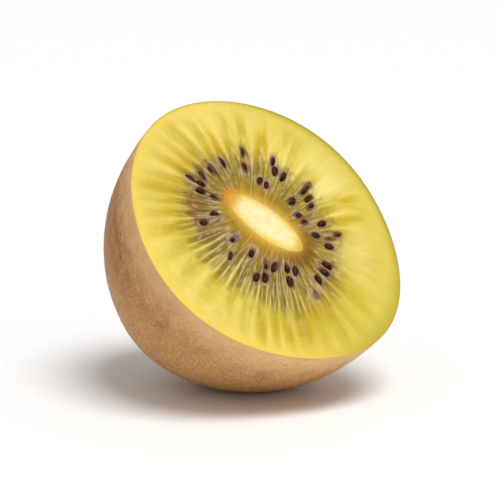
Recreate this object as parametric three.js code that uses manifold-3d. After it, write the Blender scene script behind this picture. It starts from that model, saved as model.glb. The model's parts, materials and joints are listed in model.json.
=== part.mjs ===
// Half of a golden kiwi fruit, cut across its middle and lying on its skin.
//
// Lengths are in millimetres and angles in degrees, with +Z up. The origin is the middle of the small
// flat spot that the fruit lies on, and the cut face looks towards -Y and up.
//
// The half is modelled upright in its own frame, with the cut face at z = 0 looking along +Z, the long
// diameter along X and the blossom end at the bottom. The group at the end leans it back.

import * as THREE from "three";
import { mergeVertices, toCreasedNormals } from "three/addons/utils/BufferGeometryUtils.js";
import Module from "manifold-3d";

// The fruit's size and how it lies.
const LONG_DIAMETER = 54;
const SHORT_DIAMETER = 50;
const HALF_LENGTH = 35; // from the cut face to the blossom end
const FACE_ELEVATION = 40; // how far the cut face looks up from level
const FACE_TURN = -57; // the long diameter's turn in the cut face, from level
const FLAT_DEPTH = 0.8; // how far the underside is pressed in where it lies

// The form of the outside.
const SIDE_FULLNESS = 2.2; // 2 is an ellipse, and more is fuller, as the sides of a kiwi are
const LUMPS = [
  { waves: 3, size: 0.01, turn: 130 },
  { waves: 4, size: 0.012, turn: 0 },
];
const DIMPLE = { radius: 6.5, depth: 0.8 };
const REMNANT = { radius: 2, height: 1.3, hollow: 0.5, lobes: 5, lobeSize: 0.12 };

// The layers.
const SKIN_THICKNESS = 0.8;
const LAYER_GAP = 0.3; // between one layer and the next
const CORE_LENGTH = 16;
const CORE_WIDTH = 6.2;
const CORE_DEPTH = 25;
const CORE_FULLNESS = 1.85; // less than 2, so that the core's cut end comes to a point at both tips
const CORE_CENTRE = new THREE.Vector2(-0.9, 1.0);
const CORE_TURN = 6; // the core's long side against the long diameter

// The seed chambers. They spread from the core along hyperbolas whose foci are near its tips, so a
// place among them is given by its reach, half the length of the ellipse through it with the same foci,
// and by its angle round that ellipse.
const CHAMBERS = 38;
const CHAMBER_DEPTH = 0.5;
const CHAMBER_START = { from: 9, to: 11 };
const CHAMBER_END = { from: 14.7, to: 20.2 };
const CHAMBER_DRIFT = [
  { waves: 3, size: 0.06, turn: 40 },
  { waves: 5, size: 0.035, turn: 200 },
];

// The seeds, in three loose rows. The share is how many of the chambers have one in that row, and
// another draw gives another arrangement of them.
const SEED = { length: 2.1, width: 1.2, height: 1.0, cover: 0.05 };
const SEED_ROWS = [
  { reach: 10.4, share: 0.36 },
  { reach: 13.3, share: 0.55 },
  { reach: 15.6, share: 0.2 },
];
const SEED_SCATTER = { reach: 0.6, side: 0.26, turn: 18, size: 0.14 };
const SEED_DRAW = 22663;

// How finely the surfaces are divided.
const SKIN_SIDES = 64;
const SKIN_ROWS = 13;
const END_RINGS = [5.4, 4.1, 3, 2.3, 1.8, 1.2, 0.6]; // radii round the blossom end
const FLESH_ROWS = 8;
const FACE_RINGS = [7.6, 9.4, 10.6, 12.6, 14.8, 17.4, 20.2]; // reaches of the rings in the cut face
const SIDES_PER_CHAMBER = 4;
const CORE_SIDES = 36;
const CORE_ROWS = 7;
const SEED_SIDES = 6;
const SEED_BANDS = 4;
const CREASE = 35; // edges sharper than this look sharp

const RAD = Math.PI / 180;
const QUARTER = Math.PI / 2;
const CORE_FOCUS = Math.sqrt(CORE_LENGTH ** 2 - CORE_WIDTH ** 2) / 2;
const ABOVE = 1; // how far a tool for cutting reaches past the cut face
const BLOCK = 200; // larger than the whole fruit

const { smoothstep } = THREE.MathUtils;
const wasm = await Module();
wasm.setup();

// A closed geometry as a solid that can be cut and joined.
function solidOf(geometry) {
  const bare = geometry.clone();
  bare.deleteAttribute("normal");
  bare.deleteAttribute("uv");
  const merged = mergeVertices(bare, 1e-4);
  const corners = merged.index.array;
  const kept = [];
  for (let i = 0; i < corners.length; i += 3) {
    const [a, b, c] = corners.subarray(i, i + 3);
    if (a !== b && b !== c && c !== a) kept.push(a, b, c);
  }
  const mesh = new wasm.Mesh({
    numProp: 3,
    vertProperties: merged.attributes.position.array,
    triVerts: new Uint32Array(kept),
  });
  return new wasm.Manifold(mesh);
}

function geometryOf(solid) {
  const mesh = solid.getMesh();
  const geometry = new THREE.BufferGeometry();
  geometry.setAttribute("position", new THREE.BufferAttribute(mesh.vertProperties, 3));
  geometry.setIndex(new THREE.BufferAttribute(mesh.triVerts, 1));
  return toCreasedNormals(geometry, CREASE * RAD);
}

// A lathe from the top to the bottom whose rings are moved to their true places. placeOf takes a ring's
// number and an angle, and gives a single point for the first ring and for the last one.
function ringSolid(rings, sides, placeOf) {
  const profile = [];
  for (let ring = 0; ring < rings; ring++) {
    const isPole = ring === 0 || ring === rings - 1;
    profile.push(new THREE.Vector2(isPole ? 0 : 1, -ring));
  }
  const geometry = new THREE.LatheGeometry(profile, sides);
  const position = geometry.getAttribute("position");
  for (let side = 0; side <= sides; side++) {
    const angle = (1 - (side % sides) / sides) * 2 * Math.PI;
    for (let ring = 0; ring < rings; ring++) {
      const place = placeOf(ring, angle);
      position.setXYZ(side * rings + ring, place.x, place.y, place.z);
    }
  }
  return solidOf(geometry);
}

// A sum of slow waves round the fruit's axis.
function waves(list, angle) {
  let sum = 0;
  for (const wave of list) sum += wave.size * Math.cos(wave.waves * (angle - wave.turn * RAD));
  return sum;
}

// A point of the outside, or of a layer set in from it by inset. The share goes from 1 at the cut's edge
// to 0 at the blossom end, where there is a shallow dimple.
function bodyPoint(angle, share, inset) {
  const lumps = 1 + waves(LUMPS, angle);
  const x = (LONG_DIAMETER / 2 - inset) * share * lumps * Math.cos(angle);
  const y = (SHORT_DIAMETER / 2 - inset) * share * lumps * Math.sin(angle);
  const depth = (1 - share ** SIDE_FULLNESS) ** (1 / SIDE_FULLNESS);
  const dimple = DIMPLE.depth * (1 - smoothstep(Math.hypot(x, y), 0, DIMPLE.radius));
  return new THREE.Vector3(x, y, dimple - (HALF_LENGTH - inset) * depth);
}

// The share at a row of the side, so that the rows are about evenly spaced along it.
function rowShare(row, rows) {
  return Math.cos((row / rows) * QUARTER) ** (2 / SIDE_FULLNESS);
}

// How far the dry remnant of the flower stands out of the dimple.
function remnantHeight(angle, radius) {
  const edge = REMNANT.radius * (1 + REMNANT.lobeSize * Math.cos(REMNANT.lobes * angle));
  const nub = 1 - smoothstep(radius, 0.6 * edge, 1.2 * edge);
  const hollow = 1 - smoothstep(radius, 0, 0.6 * edge);
  return REMNANT.height * nub - REMNANT.hollow * hollow;
}

function outsideSolid() {
  const shares = [];
  for (let row = 0; row < SKIN_ROWS - 1; row++) shares.push(rowShare(row, SKIN_ROWS));
  for (const radius of END_RINGS) shares.push((2 * radius) / LONG_DIAMETER);
  shares.push(0);
  return ringSolid(shares.length + 1, SKIN_SIDES, (ring, angle) => {
    if (ring === 0) return new THREE.Vector3();
    const point = bodyPoint(angle, shares[ring - 1], 0);
    point.z -= remnantHeight(angle, Math.hypot(point.x, point.y));
    return point;
  });
}

// The room inside the skin, which goes on above the cut so that the skin is open there.
function insideSolid() {
  return ringSolid(SKIN_ROWS + 3, SKIN_SIDES, (ring, angle) => {
    if (ring === 0) return new THREE.Vector3(0, 0, ABOVE);
    if (ring === 1) return bodyPoint(angle, 1, SKIN_THICKNESS).setZ(ABOVE);
    return bodyPoint(angle, rowShare(ring - 2, SKIN_ROWS), SKIN_THICKNESS);
  });
}

// The turn that leans the half back as it lies.
const lean = new THREE.Matrix4().makeRotationFromEuler(
  new THREE.Euler(QUARTER - FACE_ELEVATION * RAD, 0, FACE_TURN * RAD),
);

// The lowest point of the leaned outside, before it is pressed flat.
function lowestPoint() {
  let lowest = new THREE.Vector3(0, 0, Infinity);
  for (let angle = 0; angle < 360; angle++) {
    for (let row = 0; row <= 90; row++) {
      const point = bodyPoint(angle * RAD, rowShare(row, 90), 0).applyMatrix4(lean);
      if (point.z < lowest.z) lowest = point;
    }
  }
  return lowest;
}

const rest = lowestPoint();

// Everything under the surface that the fruit lies on, raised by inset for a layer inside the skin.
function belowSurface(inset) {
  const block = new THREE.BoxGeometry(BLOCK, BLOCK, BLOCK);
  block.translate(0, 0, rest.z + FLAT_DEPTH + inset - BLOCK / 2);
  block.applyMatrix4(lean.clone().invert());
  return solidOf(block);
}

// Turns a spot measured from the core's middle, along and across the core, to its place in the cut.
function besideCore(along, across) {
  const spot = new THREE.Vector2(along, across);
  return spot.rotateAround(new THREE.Vector2(), CORE_TURN * RAD).add(CORE_CENTRE);
}

// The spot in the cut at a reach and at an angle round the core.
function aroundCore(reach, angle) {
  const width = Math.sqrt(reach ** 2 - CORE_FOCUS ** 2);
  return besideCore(reach * Math.cos(angle), width * Math.sin(angle));
}

// The angle at a place counted in chambers, which are not all equally wide.
function chamberAngle(place) {
  const even = (place / CHAMBERS) * 2 * Math.PI;
  return even + waves(CHAMBER_DRIFT, even);
}

// How far the cut face sinks into a chamber. It is deepest along the chamber's middle.
function chamberSink(reach, place) {
  const aside = 2 * (place - Math.floor(place)) - 1;
  const start = smoothstep(reach, CHAMBER_START.from, CHAMBER_START.to);
  const end = 1 - smoothstep(reach, CHAMBER_END.from, CHAMBER_END.to);
  return CHAMBER_DEPTH * start * end * (1 - aside ** 2);
}

// The flesh before the core is taken out: the cut face with its chambers, and the side under the skin.
function fleshBody() {
  const inset = SKIN_THICKNESS + LAYER_GAP;
  const sideStart = FACE_RINGS.length + 2;
  return ringSolid(sideStart + FLESH_ROWS + 1, CHAMBERS * SIDES_PER_CHAMBER, (ring, angle) => {
    const place = (angle / (2 * Math.PI)) * CHAMBERS;
    const turned = chamberAngle(place);
    if (ring === 0) return new THREE.Vector3(CORE_CENTRE.x, CORE_CENTRE.y, 0);
    if (ring <= FACE_RINGS.length) {
      const reach = FACE_RINGS[ring - 1];
      const spot = aroundCore(reach, turned);
      return new THREE.Vector3(spot.x, spot.y, -chamberSink(reach, place));
    }
    const bodyAngle = turned + CORE_TURN * RAD;
    if (ring >= sideStart) {
      return bodyPoint(bodyAngle, rowShare(ring - sideStart, FLESH_ROWS), inset);
    }
    const spot = aroundCore(CHAMBER_END.to, turned);
    return new THREE.Vector3(spot.x, spot.y, 0).lerp(bodyPoint(bodyAngle, 1, inset), 0.5);
  });
}

// A number from 0 to 1 that looks random and is the same every time.
function chance(chamber, row, use) {
  const turn = chamber * 12.9898 + row * 78.233 + use * 37.719 + SEED_DRAW;
  const value = Math.sin(turn) * 43758.5453;
  return value - Math.floor(value);
}

// One seed, half sunk in its chamber and pointing away from the core.
function seedSolid(chamber, row) {
  const scatter = (use) => 2 * chance(chamber, row, use) - 1;
  const reach = SEED_ROWS[row].reach + SEED_SCATTER.reach * scatter(2);
  const angle = chamberAngle(chamber + 0.5 + SEED_SCATTER.side * scatter(3));
  const middle = aroundCore(reach, angle);
  const outward = aroundCore(reach + 0.1, angle).sub(middle).angle();
  const size = 1 + SEED_SCATTER.size * scatter(5);
  const seed = new THREE.SphereGeometry(0.5, SEED_SIDES, SEED_BANDS);
  seed.scale(SEED.length * size, SEED.width * size, SEED.height);
  seed.rotateZ(outward + SEED_SCATTER.turn * RAD * scatter(4));
  seed.translate(middle.x, middle.y, -SEED.height / 2 - SEED.cover);
  return solidOf(seed);
}

function withSeeds(flesh) {
  let seeded = flesh;
  for (let chamber = 0; chamber < CHAMBERS; chamber++) {
    for (let row = 0; row < SEED_ROWS.length; row++) {
      const hasSeed = chance(chamber, row, 1) < SEED_ROWS[row].share;
      if (hasSeed) seeded = seeded.add(seedSolid(chamber, row));
    }
  }
  return seeded;
}

// The core's surface, set out by grow. The dip goes from 0 at the cut to a quarter turn at its tip.
function corePoint(angle, dip, grow) {
  const pointed = (value) => Math.sign(value) * Math.abs(value) ** (2 / CORE_FULLNESS);
  const along = (CORE_LENGTH / 2 + grow) * Math.cos(dip) * pointed(Math.cos(angle));
  const across = (CORE_WIDTH / 2 + grow) * Math.cos(dip) * pointed(Math.sin(angle));
  const spot = besideCore(along, across);
  return new THREE.Vector3(spot.x, spot.y, -(CORE_DEPTH + grow) * Math.sin(dip));
}

// The core, set out by grow, with its cut end at the height top.
function coreSolid(grow, top) {
  return ringSolid(CORE_ROWS + 3, CORE_SIDES, (ring, angle) => {
    if (ring === 0) return new THREE.Vector3(CORE_CENTRE.x, CORE_CENTRE.y, top);
    if (ring === 1) return corePoint(angle, 0, grow).setZ(top);
    return corePoint(angle, ((ring - 2) / CORE_ROWS) * QUARTER, grow);
  });
}

function named(name, solid, material) {
  const mesh = new THREE.Mesh(geometryOf(solid), material);
  mesh.name = name;
  return mesh;
}

function skin() {
  const material = new THREE.MeshStandardMaterial({ color: 0xb98a5c, roughness: 0.62, metalness: 0 });
  const room = insideSolid().subtract(belowSurface(SKIN_THICKNESS));
  const cup = outsideSolid().subtract(belowSurface(0)).subtract(room);
  return named("skin", cup, material);
}

function flesh() {
  const material = new THREE.MeshStandardMaterial({ color: 0xe2cc58, roughness: 0.35, metalness: 0 });
  const filled = fleshBody().subtract(belowSurface(SKIN_THICKNESS + LAYER_GAP));
  return named("flesh", withSeeds(filled).subtract(coreSolid(LAYER_GAP, ABOVE)), material);
}

function core() {
  const material = new THREE.MeshStandardMaterial({ color: 0xf6ecbc, roughness: 0.45, metalness: 0 });
  return named("core", coreSolid(0, 0), material);
}

const half = new THREE.Group();
half.setRotationFromMatrix(lean);
half.position.set(-rest.x, -rest.y, -rest.z - FLAT_DEPTH);
half.add(skin(), flesh(), core());

const kiwi = new THREE.Group();
kiwi.name = "golden_kiwi_half";
kiwi.add(half);

export default kiwi;
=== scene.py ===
import json
import math

import bmesh
import bpy
from mathutils import Matrix, Vector, noise


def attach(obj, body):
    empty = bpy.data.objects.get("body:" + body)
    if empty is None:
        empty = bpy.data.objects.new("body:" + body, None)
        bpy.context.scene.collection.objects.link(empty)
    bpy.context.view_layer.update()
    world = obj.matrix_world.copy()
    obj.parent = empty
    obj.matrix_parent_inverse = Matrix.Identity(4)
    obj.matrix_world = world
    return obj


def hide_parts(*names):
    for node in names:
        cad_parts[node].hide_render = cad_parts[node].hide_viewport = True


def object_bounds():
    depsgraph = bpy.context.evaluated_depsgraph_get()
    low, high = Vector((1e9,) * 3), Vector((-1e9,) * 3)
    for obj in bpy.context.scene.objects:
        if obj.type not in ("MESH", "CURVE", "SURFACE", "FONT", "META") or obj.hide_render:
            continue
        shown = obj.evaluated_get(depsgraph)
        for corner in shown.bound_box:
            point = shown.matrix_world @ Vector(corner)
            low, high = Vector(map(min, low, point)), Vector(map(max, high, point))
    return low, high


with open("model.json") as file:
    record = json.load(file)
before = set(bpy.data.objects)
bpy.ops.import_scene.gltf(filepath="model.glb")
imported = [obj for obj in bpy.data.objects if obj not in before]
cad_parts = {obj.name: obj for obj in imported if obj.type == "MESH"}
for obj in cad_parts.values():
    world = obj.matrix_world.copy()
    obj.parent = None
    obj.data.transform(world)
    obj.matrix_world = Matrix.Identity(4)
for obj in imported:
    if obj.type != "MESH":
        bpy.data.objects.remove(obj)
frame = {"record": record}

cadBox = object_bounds()
print("stage: frame loaded")

# Sizes are in millimetres and angles in degrees until a shape is placed. The half is shaped in its own
# frame, with the cut at z = 0 facing +Z, the long diameter along X and the blossom end at the bottom.
mm = 0.001  # in the frame's metres
weld = 0.0001  # corners nearer than this are joined
fruit = {
    "longDiameter": 54,
    "shortDiameter": 50,
    "halfLength": 35,
    "fullness": 2.2,  # 2 is an ellipse, more is fuller
    "lumps": [(3, 0.01, 130), (4, 0.012, 0)],  # waves round the fruit: how many, their size and turn
    "dimple": {"radius": 6.5, "depth": 0.8},  # at the blossom end
    "faceElevation": 40,  # how far up the cut looks
    "faceTurn": -57,  # and how the half is turned about the cut's middle
}

# The core comes first, because the rays of the flesh run out from it.
core = {
    "length": 16,
    "width": 6.2,
    "depth": 25,
    "fullness": 1.85,
    "centre": (-0.9, 1.0),
    "turn": 6,
    "sides": 144,
    "faceRings": 14,
    "sideRings": 10,
    "spread": 0.3,  # how far its end overlaps the flesh
    "sideSpread": 0.07,  # and its sides
    "sunk": 0.02,  # how far its end lies below the cut
    "dip": 0.06,  # and how much further its edge dips
    "ridges": {"size": 0.01, "scale": 0.8, "slice": 3},  # the slice picks a part of the noise
    # Two tints that are mixed with each other, and then layers: how strong each is, and its tint.
    "light": (230, 214, 148),
    "lightest": (238, 226, 174),
    "edge": (1, (230, 196, 98)),
    "upperEnd": (1, (210, 150, 34)),
    "lowerEnd": (1, (208, 166, 42)),
}

# The cut's mount is the middle of the core's end, which says where the half stands.
cutMount = next(m for m in frame["record"]["mounts"] if m["name"] == "cut_face")
lean = Matrix.Rotation(math.radians(90 - fruit["faceElevation"]), 3, "X")
lean @= Matrix.Rotation(math.radians(fruit["faceTurn"]), 3, "Z")
faceMiddle = Vector(cutMount["pos_m"]) - lean @ Vector((*core["centre"], 0)) * mm
toPlace = Matrix.Translation(faceMiddle) @ lean.to_4x4() @ Matrix.Scale(mm, 4)
coreFocus = math.sqrt(core["length"] ** 2 - core["width"] ** 2) / 2


def smoothStep(value, low, high):
    share = min(max((value - low) / (high - low), 0), 1)
    return share * share * (3 - 2 * share)


def blend(a, b, share):
    return a + (b - a) * share


def waves(listed, angle):
    return sum(size * math.cos(count * (angle - math.radians(turn))) for count, size, turn in listed)


# The outside set in by inset. The share goes from 1 at the cut's edge to 0 at the blossom end.
def bodyPoint(angle, share, inset):
    lumps = 1 + waves(fruit["lumps"], angle)
    x = (fruit["longDiameter"] / 2 - inset) * share * lumps * math.cos(angle)
    y = (fruit["shortDiameter"] / 2 - inset) * share * lumps * math.sin(angle)
    depth = max(1 - share ** fruit["fullness"], 0) ** (1 / fruit["fullness"])
    dimple = fruit["dimple"]["depth"] * (1 - smoothStep(math.hypot(x, y), 0, fruit["dimple"]["radius"]))
    return Vector((x, y, dimple - (fruit["halfLength"] - inset) * depth))


# Even steps along the side, from the cut to the blossom end.
def rowShare(row, rows):
    return max(math.cos(row / rows * math.pi / 2), 0) ** (2 / fruit["fullness"])


# A spot measured along and across the core, as a place in the cut.
def besideCore(along, across):
    turn = math.radians(core["turn"])
    x = along * math.cos(turn) - across * math.sin(turn) + core["centre"][0]
    y = along * math.sin(turn) + across * math.cos(turn) + core["centre"][1]
    return Vector((x, y, 0))


# Ellipses round the core all have its foci, so the rays between them are hyperbolas.
def aroundCore(reach, angle):
    width = math.sqrt(reach**2 - coreFocus**2)
    return besideCore(reach * math.cos(angle), width * math.sin(angle))


# A spot of the core's outside made larger by grow, or on its end where the share is below 1.
def corePoint(angle, dip, grow, share=1):
    def pointed(value):
        return math.copysign(abs(value) ** (2 / core["fullness"]), value)

    along = (core["length"] / 2 + grow) * share * math.cos(dip) * pointed(math.cos(angle))
    across = (core["width"] / 2 + grow) * share * math.cos(dip) * pointed(math.sin(angle))
    spot = besideCore(along, across)
    spot.z = -(core["depth"] + grow) * math.sin(dip)
    return spot


# A profile of rings is spun round, and each ring's corners are then moved to their places. The first
# and the last ring are single points. rayOf gives each corner's place for a pattern that follows rays.
def spunForm(rings, sides, placeOf, rayOf=None, mark=None):
    form = bmesh.new()
    corners = [form.verts.new((0 if ring in (0, rings - 1) else 1, 0, -ring)) for ring in range(rings)]
    for upper, lower in zip(corners, corners[1:]):
        form.edges.new((upper, lower))
    bmesh.ops.spin(
        form,
        geom=form.verts[:] + form.edges[:],
        cent=(0, 0, 0),
        axis=(0, 0, 1),
        angle=math.tau,
        steps=sides,
        use_merge=True,
    )
    bmesh.ops.remove_doubles(form, verts=form.verts, dist=weld)
    putInOrder(form)
    if rayOf:
        mapRays(form, rayOf)
    if mark:
        mark(form)
    for corner in form.verts:
        angle = math.atan2(corner.co.y, corner.co.x) % math.tau
        corner.co = placeOf(round(-corner.co.z), angle)
    bmesh.ops.recalc_face_normals(form, faces=form.faces)
    return form


# Merging leaves corners, edges and faces in an order that changes from run to run. Here they are put in
# order ring by ring, and round each ring.
def putInOrder(form):
    ringStep = 7  # more than a full turn

    def order(spot):
        return math.atan2(spot.y, spot.x) - spot.z * ringStep

    form.verts.sort(key=lambda corner: order(corner.co))
    form.edges.sort(key=lambda edge: order((edge.verts[0].co + edge.verts[1].co) / 2))
    form.faces.sort(key=lambda face: order(face.calc_center_median()))


# A corner's angle is kept within half a turn of its face's, so that no face is stretched over the map.
def mapRays(form, rayOf):
    rays = form.loops.layers.uv.new("rays")
    for face in form.faces:
        middle = face.calc_center_median()
        about = math.atan2(middle.y, middle.x)
        for loop in face.loops:
            co = loop.vert.co
            onAxis = math.hypot(co.x, co.y) < weld
            angle = about if onAxis else math.atan2(co.y, co.x)
            angle = about + math.remainder(angle - about, math.tau)
            loop[rays].uv = rayOf(round(-co.z), angle)


# The half lies on a small flat spot, so nothing comes lower than that, or than its own layer there.
def layDown(form, inset=0):
    for corner in form.verts:
        corner.co = toPlace @ corner.co
        corner.co.z = max(corner.co.z, inset * mm)


def finished(form, name, node, finish):
    mesh = bpy.data.meshes.new(name)
    form.to_mesh(mesh)
    form.free()
    mesh.materials.append(finish)
    for face in mesh.polygons:
        face.use_smooth = True
    piece = bpy.data.objects.new(name, mesh)
    bpy.context.scene.collection.objects.link(piece)
    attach(piece, "root")
    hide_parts(node)
    print("stage:", name, len(mesh.polygons), "faces")


# Wraps a socket, so that shader sums read as plain sums.
class Wire:
    def __init__(self, tree, socket=None):
        self.tree = tree
        self.socket = socket

    def node(self, kind, settings=None, inputs=None, output=0):
        made = self.tree.nodes.new("ShaderNode" + kind)
        for name, value in (settings or {}).items():
            if name == "stops":
                setStops(made.color_ramp.elements, value)
            else:
                setattr(made, name, value)
        for name, value in (inputs or {}).items():
            if isinstance(value, Wire):
                self.tree.links.new(value.socket, made.inputs[name])
            else:
                made.inputs[name].default_value = value
        return Wire(self.tree, made.outputs[output] if made.outputs else None)

    def calculate(self, operation, *values):
        return self.node("Math", {"operation": operation}, dict(enumerate(values)))

    def math(self, operation, *others):
        return self.calculate(operation, self, *others)

    def __add__(self, other):
        return self.calculate("ADD", self, other)

    def __sub__(self, other):
        return self.calculate("SUBTRACT", self, other)

    def __rsub__(self, other):
        return self.calculate("SUBTRACT", other, self)

    def __mul__(self, other):
        return self.calculate("MULTIPLY", self, other)

    def __truediv__(self, other):
        return self.calculate("DIVIDE", self, other)

    def __rtruediv__(self, other):
        return self.calculate("DIVIDE", other, self)

    def __pow__(self, other):
        return self.calculate("POWER", self, other)

    __radd__ = __add__
    __rmul__ = __mul__

    def smooth(self, low, high):  # from 0 at low to 1 at high
        inputs = {"Value": self, "From Min": low, "From Max": high}
        return self.node("MapRange", {"interpolation_type": "SMOOTHSTEP"}, inputs)

    def fade(self, low, high):  # and from 1 to 0
        return 1 - self.smooth(low, high)

    def within(self, start, full, falling, end):  # from start to end, and full between the inner two
        return self.smooth(start, full) * self.fade(falling, end)

    def ranged(self, low, high):  # 0 to 1 becomes low to high
        return self.node("MapRange", None, {"Value": self, "To Min": low, "To Max": high})

    def swing(self, size):  # 0 to 1 becomes half of size to both sides of 0
        return (self - 0.5) * size

    def zigzag(self):  # 1 at each whole number, and 0 halfway between them
        return (self.math("FRACT") * 2 - 1).math("ABSOLUTE")

    def mix(self, first, second):  # this socket is how much of the second there is
        return self.node("Mix", {"data_type": "RGBA"}, {0: self, 6: first, 7: second}, 2)

    def noise(self, scale, detail, roughness):  # this socket is the vector
        inputs = {"Vector": self, "Scale": scale, "Detail": detail, "Roughness": roughness}
        return self.node("TexNoise", None, inputs)

    def cells(self, scale):
        return self.node("TexVoronoi", None, {"Vector": self, "Scale": scale})

    def stretched(self, scale):
        return self.node("Mapping", {"vector_type": "POINT"}, {"Vector": self, "Scale": scale})

    def vector(self, operation, other=None, output=0):
        inputs = {0: self} if other is None else {0: self, 1: other}
        return self.node("VectorMath", {"operation": operation}, inputs, output)

    def part(self, axis):
        return self.node("SeparateXYZ", None, {0: self}, axis)

    def bump(self, strength, height):  # this socket is the relief, and the height is in millimetres
        inputs = {"Strength": strength, "Distance": height * mm, "Height": self}
        return self.node("Bump", None, inputs)


# A new ramp has a stop at each end. The first goes, and the other one becomes the last of the list.
def setStops(elements, stops):
    for at, tint in stops[:-1]:
        elements.new(at).color = tint
    elements.remove(elements[0])
    elements[-1].position, elements[-1].color = stops[-1]


def shade(red, green, blue):  # screen values from 0 to 255
    def linear(value):
        value /= 255
        return value / 12.92 if value <= 0.04045 else ((value + 0.055) / 1.055) ** 2.4

    return (linear(red), linear(green), linear(blue), 1)


# Lays a tint over a colour where the mask is 1, as strongly as the layer says.
def over(colour, mask, layer):
    strength, tint = layer
    amount = mask if strength == 1 else mask * strength
    return amount.mix(colour, shade(*tint))


def newFinish(name):
    material = bpy.data.materials.new(name)
    material.use_nodes = True
    material.node_tree.nodes.clear()
    return material, Wire(material.node_tree)


# Object coordinates turned back to millimetres in the half's own frame.
def ownPlace(start):
    inputs = {
        "Vector": start.node("TexCoord", output=3),
        "Location": faceMiddle,
        "Rotation": lean.to_euler(),
        "Scale": (mm, mm, mm),
    }
    return start.node("Mapping", {"vector_type": "TEXTURE"}, inputs)


def surface(start, colour, roughness, fixed, bump=None):
    inputs = {"Base Color": colour, "Roughness": roughness, **fixed}
    if bump:
        inputs["Normal"] = bump
    shader = start.node("BsdfPrincipled", None, inputs)
    start.node("OutputMaterial", None, {"Surface": shader})


flesh = {
    "rimInset": 0.11,  # from the fruit's outside, at the cut
    "inset": 0.42,  # and deeper in
    "insetRows": 2,  # the inset grows over this many rings
    "edge": 0.35,  # how far its rounded rim reaches into the cut
    "rimSunk": 0.05,
    "rimRound": 0.04,
    "holeGrow": 0.05,  # the hole for the core is this much larger than the core's own size
    "chambers": 38,
    "chamberDepth": 0.5,
    "depthLuck": (0.8, 0.3),  # the least share of it, and what luck adds
    "chamberStart": (9, 11),
    "chamberEnd": (16.4, 20.6),  # the shortest and the longest
    "chamberFade": (4.5, 0.8),  # they fade from so far before their end to so far past it
    "chamberWidth": 1.15,
    "narrowing": 0.85,  # how much narrower they are at their end
    "narrowFrom": 12,
    "wallSlope": 0.65,
    "chamberDrift": [(3, 0.06, 40), (5, 0.035, 200)],  # waves, as the fruit's lumps
    "luckRow": 7,  # a row without seeds, for what a whole chamber draws
    "sunk": 0.07,  # how far the face lies below the cut at the core
    "rise": 0.02,  # and how much higher it is further out
    "riseReach": (8.3, 9.3),
    "fibres": {"size": 0.05, "count": 14, "stretch": 0.25},
    "grain": {"size": 0.03, "scale": 0.9},
    "sidesPerChamber": 12,
    "holeRings": 6,
    "faceRings": 84,
    "rimRings": 4,
    "sideRings": 18,
    "firstReach": 8.25,
    "rimReach": 26.1,
    "ringShares": (0.09, 0.62),  # the rings are plain ellipses between these shares of the way out
    "mapReach": 40,  # the reach at the far end of the rays map
    # Colours from the core to the rim, by their reach.
    "shades": [
        (8.1, (208, 172, 64)),
        (8.8, (156, 118, 8)),
        (11.5, (142, 114, 26)),
        (14.5, (150, 122, 22)),
        (18.0, (187, 161, 24)),
        (21.5, (219, 195, 84)),
        (24.5, (226, 203, 106)),
    ],
    "shadeStart": 8,
    "shadeLength": 18.5,
    # Tints that are mixed with each other.
    "rimYellow": (230, 200, 84),
    "rimGreen": (180, 162, 46),
    "chamber": (168, 134, 24),
    "nearChamber": (112, 98, 26),
    "farChamber": (190, 160, 44),
    "darkSkin": (112, 82, 52),
    "paleSkin": (180, 154, 120),
    # Layers, from the lowest to the topmost: how strong each is, and its tint.
    "paleStreaks": (0.35, (240, 222, 134)),
    "broadStreaks": (0.25, (200, 176, 64)),
    "mottles": (0.3, (216, 196, 84)),
    "paleSpots": (0.3, (244, 226, 142)),
    "darkSpots": (0.25, (196, 174, 54)),
    "greenSide": (0.6, (205, 186, 68)),
    "chamberLines": (0.4, (104, 86, 30)),
    "walls": (0.7, (238, 216, 128)),
    "golden": (0.65, (192, 166, 32)),
    "wideRays": (0.55, (242, 222, 140)),
    "bandBrown": (0.45, (114, 80, 46)),
    "bandOlive": (0.45, (150, 134, 58)),
    "bandCorner": (1.4, (128, 92, 38)),
    "olive": (0.6, (128, 112, 30)),
    "darkLines": (0.5, (100, 88, 26)),
    "paleLines": (0.85, (210, 190, 128)),
    "paleThreads": (0.45, (206, 178, 112)),
    "darkThreads": (0.4, (104, 76, 20)),
    "orange": (1, (198, 128, 6)),
    "brown": (0.9, (122, 82, 8)),
    "orangeFibres": (0.6, (226, 172, 76)),
    "coreEdge": (0.4, (232, 190, 84)),
    "smudges": (0.75, (120, 84, 56)),
    "seedEdges": (0.7, (84, 56, 30)),
    "flecks": (0.35, (206, 188, 140)),
    "bruise": (0.6, (158, 88, 36)),
    "bruisePlace": (-13.2, -5.9, 0),  # at the core's upper end
}

seeds = {
    "length": 2.1,
    "width": 1.2,
    "height": 1.0,
    "trim": (0.97, 0.92, 0.85),  # shares of the three that a smooth seed has
    "pointed": 0.28,  # how much thicker one end is
    "cover": 0.05,  # how far below the cut a seed's top lies
    "sunk": 0.4,  # and how much deeper the deepest are
    "sunkLuck": (0.45, 0.9),  # draws below the first lie highest, and above the second deepest
    "tilt": 12,
    "rows": [(10.4, 0.36), (13.3, 0.55), (15.6, 0.2)],  # reach, and the share of chambers that have one
    "scatter": {"reach": 0.6, "side": 0.26, "turn": 18, "size": 0.14},
    "draw": 22663,  # another one gives another arrangement
    "drawSteps": (12.9898, 78.233, 37.719),  # for chamber, row and use
    "drawStretch": 43758.5453,  # large, so that near draws have nothing in common
    "skinReach": 1.5,  # how far the thin skins round a seed reach
    "lookRange": 3,  # a seed further away than this leaves no mark
    "dark": (40, 17, 8),
    "light": (76, 42, 22),
}


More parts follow.
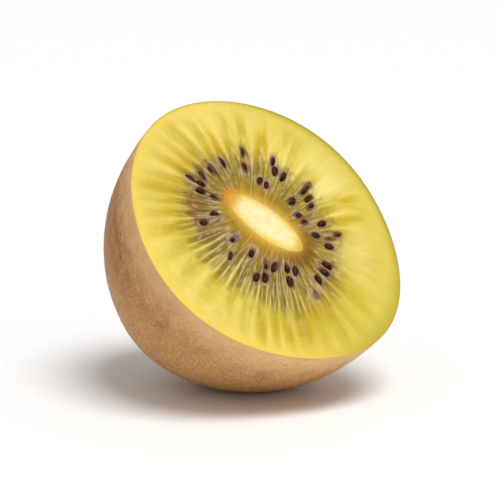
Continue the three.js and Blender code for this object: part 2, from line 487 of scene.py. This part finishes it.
# A number from 0 to 1 that looks random and is the same every time. Each use has a number of its own.
def chance(chamber, row, use):
    chamberStep, rowStep, useStep = seeds["drawSteps"]
    steps = chamber * chamberStep + row * rowStep + use * useStep + seeds["draw"]
    value = math.sin(steps) * seeds["drawStretch"]
    return value - math.floor(value)


def swingChance(chamber, row, use):  # from -1 to 1
    return 2 * chance(chamber, row, use) - 1


def chamberAngle(place):
    even = place / flesh["chambers"] * math.tau
    return even + waves(flesh["chamberDrift"], even)


def seedPlaces():
    places = []
    scatter = seeds["scatter"]
    step = 0.1  # outwards, to find the way the rays run
    for chamber in range(flesh["chambers"]):
        for row, (rowReach, share) in enumerate(seeds["rows"]):
            if chance(chamber, row, 1) >= share:
                continue
            reach = rowReach + scatter["reach"] * swingChance(chamber, row, 2)
            angle = chamberAngle(chamber + 0.5 + scatter["side"] * swingChance(chamber, row, 3))
            middle = aroundCore(reach, angle)
            outward = aroundCore(reach + step, angle) - middle
            turn = math.atan2(outward.y, outward.x)
            turn += math.radians(scatter["turn"]) * swingChance(chamber, row, 4)
            size = 1 + scatter["size"] * swingChance(chamber, row, 5)
            places.append((middle, turn, size, chamber, row))
    return places


seedSpots = seedPlaces()


# How much of a chamber there is at a spot. Chambers narrow outwards and end in soft points.
def chamberShare(reach, place):
    chamber = math.floor(place) % flesh["chambers"]
    aside = abs(2 * (place - math.floor(place)) - 1)
    end = blend(*flesh["chamberEnd"], chance(chamber, flesh["luckRow"], 1))
    before, past = flesh["chamberFade"]
    width = flesh["chamberWidth"] - flesh["narrowing"] * smoothStep(reach, flesh["narrowFrom"], end)
    begun = smoothStep(reach, *flesh["chamberStart"])
    left = 1 - smoothStep(reach, end - before, end + past)
    return begun * left * smoothStep(width - aside, 0, flesh["wallSlope"])


def faceHeight(spot, reach, place):
    chamber = math.floor(place) % flesh["chambers"]
    least, luck = flesh["depthLuck"]
    depth = flesh["chamberDepth"] * (least + luck * chance(chamber, flesh["luckRow"], 2))
    angle = place / flesh["chambers"] * math.tau
    fibres, grain = flesh["fibres"], flesh["grain"]
    count = fibres["count"]
    ray = Vector((math.cos(angle) * count, math.sin(angle) * count, reach * fibres["stretch"]))
    uneven = fibres["size"] * noise.noise(ray) + grain["size"] * noise.noise(spot * grain["scale"])
    away = smoothStep(reach, *flesh["riseReach"])  # it is flat where it meets the core
    height = -depth * chamberShare(reach, place) - flesh["sunk"] + flesh["rise"] * away
    return min(height + uneven * away, 0)


def faceReach(ring):
    share = (ring - flesh["holeRings"] - 1) / (flesh["faceRings"] - 1)
    return share, blend(flesh["firstReach"], flesh["rimReach"], share)


# The rings run up the hole for the core, across the face, round the rim and down the side.
def fleshPlace(ring, angle):
    hole, face, rim = flesh["holeRings"], flesh["faceRings"], flesh["rimRings"]
    place = angle / math.tau * flesh["chambers"]
    turned = chamberAngle(place)
    bodyAngle = turned + math.radians(core["turn"])
    if ring <= hole:
        dip = (1 - ring / (hole + 1)) * math.pi / 2
        return corePoint(turned, dip if ring else math.pi / 2, flesh["holeGrow"])
    if ring <= hole + face:
        share, reach = faceReach(ring)
        leaves, joins = flesh["ringShares"]
        edge = corePoint(turned, 0, flesh["holeGrow"])
        rimPoint = bodyPoint(bodyAngle, 1, flesh["rimInset"] + flesh["edge"])
        spot = aroundCore(reach, turned).lerp(edge, 1 - smoothStep(share, 0, leaves))
        spot = spot.lerp(rimPoint, smoothStep(share, joins, 1))
        spot.z = faceHeight(spot, reach, place)
        return spot
    if ring <= hole + face + rim:
        turn = (ring - hole - face) / rim * math.pi / 2
        spot = bodyPoint(bodyAngle, 1, flesh["rimInset"] + flesh["edge"] * (1 - math.sin(turn)))
        spot.z = -flesh["rimSunk"] - flesh["rimRound"] * (1 - math.cos(turn))
        return spot
    row = ring - hole - face - rim
    inset = blend(flesh["rimInset"], flesh["inset"], smoothStep(row, 0, flesh["insetRows"]))
    return bodyPoint(bodyAngle, rowShare(row, flesh["sideRings"]), inset)


def fleshRay(ring, angle):
    return (angle / math.tau, faceReach(ring)[1] / flesh["mapReach"])


# How near a seed a spot is, from 0 to 1 at the seed itself.
def besideSeed(spot):
    nearest = seeds["skinReach"]
    for middle, turn, size, *_ in seedSpots:
        away = spot - middle
        if max(abs(away.x), abs(away.y)) > seeds["lookRange"]:
            continue
        away = Matrix.Rotation(-turn, 3, "Z") @ away
        across = math.hypot(away.x * 2 / seeds["length"], away.y * 2 / seeds["width"]) / size
        if across <= 1:
            return 1
        nearest = min(nearest, math.hypot(away.x, away.y) * (1 - 1 / across))
    return 1 - nearest / seeds["skinReach"]


def markFlesh(form):
    chamberMark = form.verts.layers.float.new("chamber")
    seedMark = form.verts.layers.float.new("bySeed")
    for corner in form.verts:
        ring = round(-corner.co.z)
        if flesh["holeRings"] < ring <= flesh["holeRings"] + flesh["faceRings"]:
            angle = math.atan2(corner.co.y, corner.co.x) % math.tau
            place = angle / math.tau * flesh["chambers"]
            spot = fleshPlace(ring, angle)
            corner[chamberMark] = chamberShare(faceReach(ring)[1], place)
            corner[seedMark] = besideSeed(Vector((spot.x, spot.y, 0)))


fleshFinish, start = newFinish("moist yellow flesh")
own = ownPlace(start)
rays = start.node("UVMap", {"uv_map": "rays"})
place = rays.part(0) * flesh["chambers"]
reach = rays.part(1) * flesh["mapReach"]
turned = rays.part(0) * math.tau
rayX = turned.math("COSINE")
rayY = turned.math("SINE")
chamber = start.node("Attribute", {"attribute_name": "chamber"}, output=2)
bySeed = start.node("Attribute", {"attribute_name": "bySeed"}, output=2)


def alongRays(count, stretch, offset=0):  # a pattern of about this many streaks that follow the rays
    size = count / math.tau
    inputs = {0: rayX * size, 1: rayY * size, 2: reach * stretch + offset}
    return start.node("CombineXYZ", None, inputs)


fine = alongRays(170, 0.22).noise(1, 2, 0.6)
softer = alongRays(90, 0.4, 15).noise(1, 1, 0.5)
coarse = alongRays(62, 0.12, 30).noise(1, 2, 0.5)
slow = alongRays(11, 0.05, 60).noise(1, 1, 0.5)
mottle = own.noise(0.28, 3, 0.55)
speckle = own.noise(0.8, 1, 0.5)
clumps = own.noise(0.6, 2, 0.5)
chamberLuck = start.node("TexWhiteNoise", {"noise_dimensions": "1D"}, {"W": place.math("FLOOR") + 0.5})
nearWall = place.zigzag()
ragged = reach + coarse.swing(4)

# The four sides: both ends of the core, and its two flanks.
upperEnd = (own.part(0) * -1).smooth(2, 13)
tip = (own.part(0) * -1).smooth(5.5, 10)
bottom = own.part(0).smooth(3, 9)
lowerEnd = own.part(0).smooth(2, 13)
nearFlank = (own.part(1) * -1).smooth(0, 12)
farFlank = own.part(1).smooth(0, 12)

# The inner colours reach further out along each chamber than along the walls between them.
shift = nearWall.smooth(0.2, 1) * 2.4 + chamberLuck.swing(2.6) + coarse.swing(3.4)
shift += farFlank * 3.9 - lowerEnd * 3.2 - upperEnd * 1.4
profile = reach + shift * reach.smooth(9.5, 14) - 0.6
first, length = flesh["shadeStart"], flesh["shadeLength"]
stops = [((at - first) / length, shade(*tint)) for at, tint in flesh["shades"]]
colour = start.node("ValToRGB", {"stops": stops}, {0: (profile - first) / length})

plain = 1 - (upperEnd + lowerEnd) * 0.6  # both ends of the core have fewer pale rays
colour = over(colour, coarse.smooth(0.5, 0.75) * reach.smooth(14, 19) * plain, flesh["paleStreaks"])
colour = over(colour, slow.smooth(0.5, 0.72) * reach.smooth(14, 20), flesh["broadStreaks"])
colour = over(colour, mottle.smooth(0.4, 0.7) * reach.smooth(16, 21), flesh["mottles"])
spots = clumps * 0.5 + softer * 0.5
colour = over(colour, spots.smooth(0.46, 0.62) * reach.smooth(13, 17) * plain, flesh["paleSpots"])
colour = over(colour, softer.smooth(0.5, 0.7) * reach.smooth(12, 16), flesh["darkSpots"])
greener = (own.part(0) * 0.6 + own.part(1) * 0.8).smooth(-6, 16)
colour = over(colour, greener * reach.smooth(15, 21), flesh["greenSide"])
rim = greener.mix(shade(*flesh["rimYellow"]), shade(*flesh["rimGreen"]))
colour = (reach.smooth(21.8, 25) * (0.7 + mottle * 0.3)).mix(colour, rim)

# Chambers are olive on the near flank and amber on the far one, with pale walls between them.
chamberTint = nearFlank.mix(shade(*flesh["chamber"]), shade(*flesh["nearChamber"]))
chamberTint = farFlank.mix(chamberTint, shade(*flesh["farChamber"]))
amount = chamber * (0.25 + 0.4 * chamberLuck) * coarse.ranged(0.6, 1.4)
colour = amount.mix(colour, chamberTint)
colour = over(colour, chamber * fine.smooth(0.5, 0.7), flesh["chamberLines"])
walls = nearWall.smooth(0.72, 0.93) * ragged.within(9.5, 12, 15, 21.5) * coarse.smooth(0.25, 0.6)
colour = over(colour, walls * plain, flesh["walls"])
golden = coarse.fade(0.36, 0.56) * reach.within(14, 16.5, 19, 23)
colour = over(colour, golden * (farFlank + upperEnd * 0.8 + lowerEnd), flesh["golden"])
wide = slow.smooth(0.5, 0.62) * farFlank * reach.within(11, 14, 19, 23)
colour = over(colour, wide, flesh["wideRays"])

# The seeds' own band is brownish, with olive patches inside it.
band = ragged.within(9.2, 10.4, 14.5, 16.5)
colour = over(colour, band * speckle.smooth(0.45, 0.7), flesh["bandBrown"])
colour = over(colour, band * mottle.smooth(0.45, 0.65), flesh["bandOlive"])
colour = over(colour, band * upperEnd * nearFlank, flesh["bandCorner"])
olive = ragged.within(8, 9.2, 11.5, 14) * (farFlank + upperEnd * 0.6) * clumps.smooth(0.4, 0.6)
colour = over(colour, olive, flesh["olive"])

# Dark and pale lines cross the near flank's chambers, and finer threads run out from the core.
lines = (place * 2.5 + coarse.swing(0.7)).zigzag()
lined = nearFlank * (1 - upperEnd * 0.6) * ragged.within(10, 11.5, 17, 19.5)
colour = over(colour, lined * lines.fade(0.3, 0.8), flesh["darkLines"])
colour = over(colour, lined * lines.smooth(0.66, 0.9) * fine.smooth(0.3, 0.5), flesh["paleLines"])
colour = over(colour, fine.smooth(0.55, 0.7) * reach.within(8.6, 9.6, 13, 16.5), flesh["paleThreads"])
colour = over(colour, fine.fade(0.36, 0.48) * reach.within(8.5, 9.2, 12, 16), flesh["darkThreads"])

# Orange and brown surround the core's ends, with paler fibres in them and right beside the core.
fringe = reach + coarse.swing(2.4) + clumps.swing(3)
warmth = fringe.fade(8.6, 9.9) * (0.12 + tip * 0.8 + nearFlank * 0.6)
colour = over(colour, warmth, flesh["orange"])
colour = over(colour, ragged.fade(9.2, 11.5) * bottom, flesh["brown"])
colour = over(colour, fine.smooth(0.5, 0.68) * warmth, flesh["orangeFibres"])
colour = over(colour, (reach + softer.swing(1.2)).fade(8.05, 8.5), flesh["coreEdge"])

# Brownish smudges and thin grey skins surround the seeds.
smudge = (bySeed + coarse.swing(2) * bySeed.smooth(0, 0.2)).smooth(0.3, 0.9)
smudge *= mottle.smooth(0.36, 0.58) * (1 - farFlank * 0.5) * (1 - reach.smooth(14.5, 17) * 0.7)
colour = over(colour, smudge, flesh["smudges"])
skins = (bySeed + softer.swing(1.4) * bySeed.smooth(0.2, 0.5)).smooth(0.45, 0.95)
greys = softer.smooth(0.42, 0.6).mix(shade(*flesh["darkSkin"]), shade(*flesh["paleSkin"]))
colour = (skins * coarse.ranged(0.2, 1.0)).mix(colour, greys)
colour = over(colour, bySeed.smooth(0.9, 1.0), flesh["seedEdges"])

# Pale flecks lie between the seeds, and there is a bruise near the core's upper end.
flecks = alongRays(95, 0.6, 45).noise(1, 1, 0.5).smooth(0.55, 0.64)
flecks *= ragged.within(9.6, 11, 15, 17) * bySeed.fade(0.5, 0.9)
colour = over(colour, flecks, flesh["flecks"])
bruise = own.vector("DISTANCE", flesh["bruisePlace"], 1)
colour = over(colour, (bruise + mottle * 2).fade(1.2, 2.8), flesh["bruise"])

relief = fine * 0.5 + speckle * 0.25 + mottle * 0.4
moist = {
    "Subsurface Weight": 0.2,
    "Subsurface Radius": (1.0, 0.7, 0.25),
    "Subsurface Scale": 1.5 * mm,
    "Coat Weight": 0.08,
    "Coat Roughness": 0.15,
    "Specular IOR Level": 0.22,
}
surface(start, colour, speckle.ranged(0.25, 0.45), moist, relief.bump(0.3, 0.3))

fleshRings = flesh["holeRings"] + flesh["faceRings"] + flesh["rimRings"] + flesh["sideRings"] + 1
fleshSides = flesh["chambers"] * flesh["sidesPerChamber"]
form = spunForm(fleshRings, fleshSides, fleshPlace, fleshRay, markFlesh)
layDown(form, flesh["inset"])
finished(form, "kiwiFlesh", "flesh", fleshFinish)

seedFinish, start = newFinish("dark seed")
own = ownPlace(start)
cloud = own.noise(1.4, 2, 0.5)
grain = own.noise(9, 2, 0.6)
colour = cloud.smooth(0.35, 0.7).mix(shade(*seeds["dark"]), shade(*seeds["light"]))
surface(start, colour, grain.ranged(0.35, 0.55), {"Specular IOR Level": 0.08}, grain.bump(0.3, 0.1))


# Each seed is a ball one across, made thicker at one end and scaled, turned and sunk into the flesh.
def seedForm():
    form = bmesh.new()
    longTrim, wideTrim, highTrim = seeds["trim"]
    for middle, turn, size, chamber, row in seedSpots:
        made = bmesh.ops.create_icosphere(form, subdivisions=2, radius=0.5)["verts"]
        for corner in made:
            taper = 1 + seeds["pointed"] * corner.co.x * 2
            corner.co.y *= taper
            corner.co.z *= taper
        length = seeds["length"] * size * longTrim
        width = seeds["width"] * size * wideTrim
        bmesh.ops.scale(form, vec=(length, width, seeds["height"] * highTrim), verts=made)
        tilt = math.radians(seeds["tilt"] * swingChance(chamber, row, 8))
        turning = Matrix.Rotation(turn, 3, "Z") @ Matrix.Rotation(tilt, 3, "Y")
        bmesh.ops.rotate(form, cent=(0, 0, 0), matrix=turning, verts=made)
        top = max(corner.co.z for corner in made)
        sunk = seeds["sunk"] * smoothStep(chance(chamber, row, 6), *seeds["sunkLuck"])
        lift = -seeds["cover"] - top - sunk
        bmesh.ops.translate(form, vec=middle + Vector((0, 0, lift)), verts=made)
    bmesh.ops.recalc_face_normals(form, faces=form.faces)
    return form


form = seedForm()
layDown(form)
finished(form, "kiwiSeeds", "flesh", seedFinish)

coreFinish, start = newFinish("pale core")
own = ownPlace(start)
inputs = {
    "Vector": own,
    "Location": (*core["centre"], 0),
    "Rotation": (0, 0, math.radians(core["turn"])),
}
centred = start.node("Mapping", {"vector_type": "TEXTURE"}, inputs)
along = centred.part(0) / (core["length"] / 2)
across = centred.part(1) / (core["width"] / 2)
edge = along.math("ABSOLUTE") ** core["fullness"] + across.math("ABSOLUTE") ** core["fullness"]
fibres = centred.stretched((1, 0.6, 0.2)).noise(0.9, 2, 0.5)
aside = start.node("CombineXYZ", None, {0: along, 1: across})
tufts = aside.vector("NORMALIZE").noise(9, 2, 0.5)
edge += fibres.swing(0.5) + tufts.swing(0.8)
colour = fibres.smooth(0.3, 0.75).mix(shade(*core["light"]), shade(*core["lightest"]))
colour = over(colour, edge.smooth(0.4, 0.95), core["edge"])
colour = over(colour, (along * -1 + tufts.swing(0.3)).smooth(0.62, 0.92), core["upperEnd"])
colour = over(colour, (along + tufts.swing(0.3)).smooth(0.72, 0.98), core["lowerEnd"])
soft = {
    "Subsurface Weight": 0.2,
    "Subsurface Radius": (1.0, 0.8, 0.4),
    "Subsurface Scale": 2 * mm,
    "Specular IOR Level": 0.3,
}
surface(start, colour, fibres.ranged(0.4, 0.6), soft, fibres.bump(0.05, 0.2))


def coreRing(ring, angle):
    face = core["faceRings"]
    if ring <= face:
        share = ring / face
        spot = corePoint(angle, 0, core["spread"], share)
        ridges = core["ridges"]
        uneven = noise.noise(Vector((spot.x * ridges["scale"], spot.y * ridges["scale"], ridges["slice"])))
        spot.z = -core["sunk"] - core["dip"] * share**12 - ridges["size"] * (1 + uneven) * (1 - share**4)
        return spot
    dip = (ring - face) / core["sideRings"] * math.pi / 2
    return corePoint(angle, dip, core["sideSpread"])


form = spunForm(core["faceRings"] + core["sideRings"] + 1, core["sides"], coreRing)
layDown(form)
finished(form, "kiwiCore", "core", coreFinish)

skin = {
    "inset": 0.04,  # keeps the smooth outside within the solid's box
    "roughInset": 0.09,  # and so does this, where it is rough
    "rimThickness": 0.13,  # at the cut
    "thickness": 0.45,  # and deeper in
    "thickenRows": 4,
    "roughenRows": 6,  # the rings over which the outside gets rough, from the cut on
    "rimRound": 0.05,
    "sides": 256,
    "insideRings": 24,
    "rimRings": 4,
    "outsideRings": 90,
    "crowding": 1.5,  # above 1 the rings lie closer together towards the blossom end
    "lumps": {"scale": 0.22, "size": 0.06},
    "pimples": {"scale": 0.6, "size": 0.03},
    "pucker": {"size": 0.1, "count": 11, "start": (1.2, 2.6), "end": (3, 7)},  # round the remnant
    "remnant": {
        "radius": 2,
        "height": 1.3,
        "hollow": 0.7,
        "lobes": 5,
        "lobeSize": 0.18,
        "slope": (0.7, 1.15),  # shares of its edge
        "hollowSlope": (0.2, 0.6),
        "folds": 0.15,
        "foldCount": 13,
        "foldStart": (0.3, 1.2),
    },
    # Tints that are mixed with each other.
    "tan": (190, 132, 72),
    "light": (208, 154, 92),
    "tipDark": (62, 38, 22),
    "tipLight": (124, 84, 50),
    "tipStrength": 0.9,
    # Layers, from the lowest to the topmost: how strong each is, and its tint.
    # The two side layers are painted shade on the -X side and painted light on the +X side.
    "paintedShadeSide": (0.6, (150, 94, 34)),
    "paintedLightSide": (0.5, (216, 174, 118)),
    "greenish": (0.45, (158, 120, 58)),
    "dull": (0.45, (150, 104, 56)),
    "warm": (0.5, (210, 150, 102)),
    "beigeEnd": (0.45, (216, 174, 118)),
    "grain": (0.6, (146, 94, 46)),
    "pits": (1, (226, 184, 126)),
    "freckles": (0.7, (92, 54, 30)),
    # painted light: the skin is lighter towards the cut
    "paintedLightLip": (0.6, (248, 204, 148)),
    "cut": (0.8, (206, 176, 92)),
    "scar": (0.4, (226, 184, 126)),
}


def remnantHeight(angle, radius):
    remnant = skin["remnant"]
    edge = remnant["radius"] * (1 + remnant["lobeSize"] * math.cos(remnant["lobes"] * angle))
    nub = 1 - smoothStep(radius, *[share * edge for share in remnant["slope"]])
    hollow = 1 - smoothStep(radius, *[share * edge for share in remnant["hollowSlope"]])
    uneven = 2 * math.sin(3 * angle)  # shifts the folds a little
    folds = remnant["folds"] * math.cos(remnant["foldCount"] * angle + uneven)
    folds *= smoothStep(radius, *remnant["foldStart"])
    return (remnant["height"] + folds) * nub - remnant["hollow"] * hollow


# The rings run up the inside from the blossom end, over the rim at the cut and down the outside.
def skinPlace(ring, angle):
    inside, rim, outside = skin["insideRings"], skin["rimRings"], skin["outsideRings"]
    if ring <= inside:
        thicker = smoothStep(inside - ring, 0, skin["thickenRows"])
        thickness = blend(skin["rimThickness"], skin["thickness"], thicker)
        return bodyPoint(angle, rowShare(inside - ring, inside + 1) if ring else 0, thickness)
    if ring <= inside + rim:
        share = (ring - inside - 1) / (rim - 1)
        spot = bodyPoint(angle, 1, blend(skin["rimThickness"], skin["inset"], share))
        spot.z = -skin["rimRound"] * abs(2 * share - 1) ** 2
        return spot
    row = ring - inside - rim
    run = 1 - (1 - row / outside) ** skin["crowding"]
    spot = bodyPoint(angle, rowShare(run, 1), skin["inset"])
    radius = math.hypot(spot.x, spot.y)
    rough = sum(noise.noise(spot * r["scale"]) * r["size"] for r in (skin["lumps"], skin["pimples"]))
    pucker = skin["pucker"]
    folds = pucker["size"] * math.cos(pucker["count"] * angle + 2 * math.sin(angle))
    folds *= smoothStep(radius, *pucker["start"])
    folds *= 1 - smoothStep(radius, *pucker["end"])
    inward = -spot.normalized()
    spot += inward * (skin["roughInset"] + rough + folds) * smoothStep(row, 0, skin["roughenRows"])
    spot.z -= remnantHeight(angle, radius)
    return spot


skinFinish, start = newFinish("thin brown skin")
own = ownPlace(start)
patches = own.noise(0.09, 3, 0.55)
blotches = own.noise(0.45, 3, 0.6)
grain = own.noise(2.4, 3, 0.65)
pores = own.cells(1.15)
freckles = own.cells(0.16)
depth = own.part(2)
streaks = own.stretched((1, 1, 0.3)).noise(0.35, 3, 0.6)
wide = own.noise(0.05, 1, 0.5)
colour = patches.smooth(0.35, 0.65).mix(shade(*skin["tan"]), shade(*skin["light"]))
paintedLightShare = (own.part(0) + patches.swing(24)).smooth(-24, 14)  # painted shade makes one side of the fruit browner, and painted light makes the other paler
colour = over(colour, 1 - paintedLightShare, skin["paintedShadeSide"])
colour = over(colour, paintedLightShare, skin["paintedLightSide"])
colour = over(colour, wide.smooth(0.45, 0.62), skin["greenish"])
colour = over(colour, streaks.smooth(0.5, 0.68), skin["dull"])
colour = over(colour, blotches.smooth(0.4, 0.65), skin["warm"])
colour = over(colour, depth.fade(-24, -8), skin["beigeEnd"])
colour = over(colour, grain.smooth(0.42, 0.66), skin["grain"])
colour = over(colour, pores.fade(0.12, 0.32) * patches.ranged(0.1, 0.7), skin["pits"])
colour = over(colour, freckles.fade(0.05, 0.09), skin["freckles"])
# Painted light: the skin is painted lighter over the last few millimetres towards the cut.
colour = over(colour, (depth + blotches.swing(5)).smooth(-10, 1), skin["paintedLightLip"])
colour = over(colour, depth.smooth(-0.3, -0.05), skin["cut"])

# The blossom end has a pale scar round its dark remnant.
offAxis = own.vector("MULTIPLY", (1, 1, 0)).vector("LENGTH", output=1)
low = depth.fade(-30, -28)
colour = over(colour, (offAxis + blotches.swing(2)).within(2, 2.6, 3, 5.5) * low, skin["scar"])
remnantTint = grain.smooth(0.4, 0.65).mix(shade(*skin["tipDark"]), shade(*skin["tipLight"]))
atTip = (offAxis + grain.swing(1.5)).fade(1.9, 2.5) * low
colour = (atTip * skin["tipStrength"]).mix(colour, remnantTint)
relief = grain * 0.6 + blotches * 0.5 - pores.smooth(0, 0.25) * 0.25
fuzzy = {
    "Sheen Weight": 0.01,
    "Sheen Roughness": 0.5,
    "Specular IOR Level": 0.1,
    "Subsurface Weight": 0.05,
    "Subsurface Radius": (1.0, 0.5, 0.25),
    "Subsurface Scale": 1.5 * mm,
}
surface(start, colour, grain.ranged(0.42, 0.68), fuzzy, relief.bump(0.5, 0.2))

skinRings = skin["insideRings"] + skin["rimRings"] + skin["outsideRings"] + 1
form = spunForm(skinRings, skin["sides"], skinPlace)
layDown(form)
finished(form, "kiwiSkin", "skin", skinFinish)

studio = {
    "floorSize": 8,  # in metres
    "floorCells": 4,
    "floorShade": (0.95, 0.95, 0.95, 1),
    "floorRoughness": 0.5,
    "world": 0.43,
    "lamps": [  # azimuth, elevation, how wide it looks, strength
        ("keyLamp", 0, 66, 30, 2.36),
        ("fillLamp", 20, 8, 60, 0.25),
    ],
}
camera = {
    "azimuth": -35.3,
    "elevation": 12,
    "distance": 600,
    "stepRight": -6.83,  # how far it is moved aside from the cut's middle
    "stepUp": 8.62,  # and above it
    "lens": 247.7,
    "sensor": 36,
    "seesTo": 20,  # in metres
    "turnRight": 0.37,
    "turnDown": 1.17,
}


def towards(azimuth, elevation):
    a, e = math.radians(azimuth), math.radians(elevation)
    return Vector((math.sin(a) * math.cos(e), -math.cos(a) * math.cos(e), math.sin(e)))


floorForm = bmesh.new()
across = studio["floorCells"]
bmesh.ops.create_grid(floorForm, x_segments=across, y_segments=across, size=studio["floorSize"] / 2)
floorMesh = bpy.data.meshes.new("floor")
floorForm.to_mesh(floorMesh)
floorForm.free()
floorFinish, start = newFinish("pale floor")
surface(start, studio["floorShade"], studio["floorRoughness"], {"Specular IOR Level": 0.2})
floorMesh.materials.append(floorFinish)
floor = bpy.data.objects.new("floor", floorMesh)
bpy.context.scene.collection.objects.link(floor)

middle = (cadBox[0] + cadBox[1]) / 2
for name, azimuth, elevation, width, strength in studio["lamps"]:
    lampData = bpy.data.lights.new(name, "SUN")
    lampData.angle = math.radians(width)
    lampData.energy = strength
    lamp = bpy.data.objects.new(name, lampData)
    lamp.location = middle + towards(azimuth, elevation)
    lamp.rotation_euler = towards(azimuth, elevation).to_track_quat("Z", "Y").to_euler()
    bpy.context.scene.collection.objects.link(lamp)

world = bpy.data.worlds.new("studio")
world.use_nodes = True
world.node_tree.nodes["Background"].inputs["Color"].default_value = (1, 1, 1, 1)
world.node_tree.nodes["Background"].inputs["Strength"].default_value = studio["world"]
bpy.context.scene.world = world

back = towards(camera["azimuth"], camera["elevation"])
right = Vector((0, 0, 1)).cross(back).normalized()
up = back.cross(right)
aim = faceMiddle + (right * camera["stepRight"] + up * camera["stepUp"]) * mm
cameraData = bpy.data.cameras.new("camera")
cameraData.lens = camera["lens"]
cameraData.sensor_width = camera["sensor"]
cameraData.clip_end = camera["seesTo"]
cameraObject = bpy.data.objects.new("camera", cameraData)
cameraObject.location = aim + back * camera["distance"] * mm
look = -back
look += right * math.tan(math.radians(camera["turnRight"]))
look -= up * math.tan(math.radians(camera["turnDown"]))
cameraObject.rotation_euler = look.to_track_quat("-Z", "Y").to_euler()
bpy.context.scene.collection.objects.link(cameraObject)
bpy.context.scene.camera = cameraObject
bpy.context.scene.view_settings.view_transform = "Standard"
print("stage: studio")
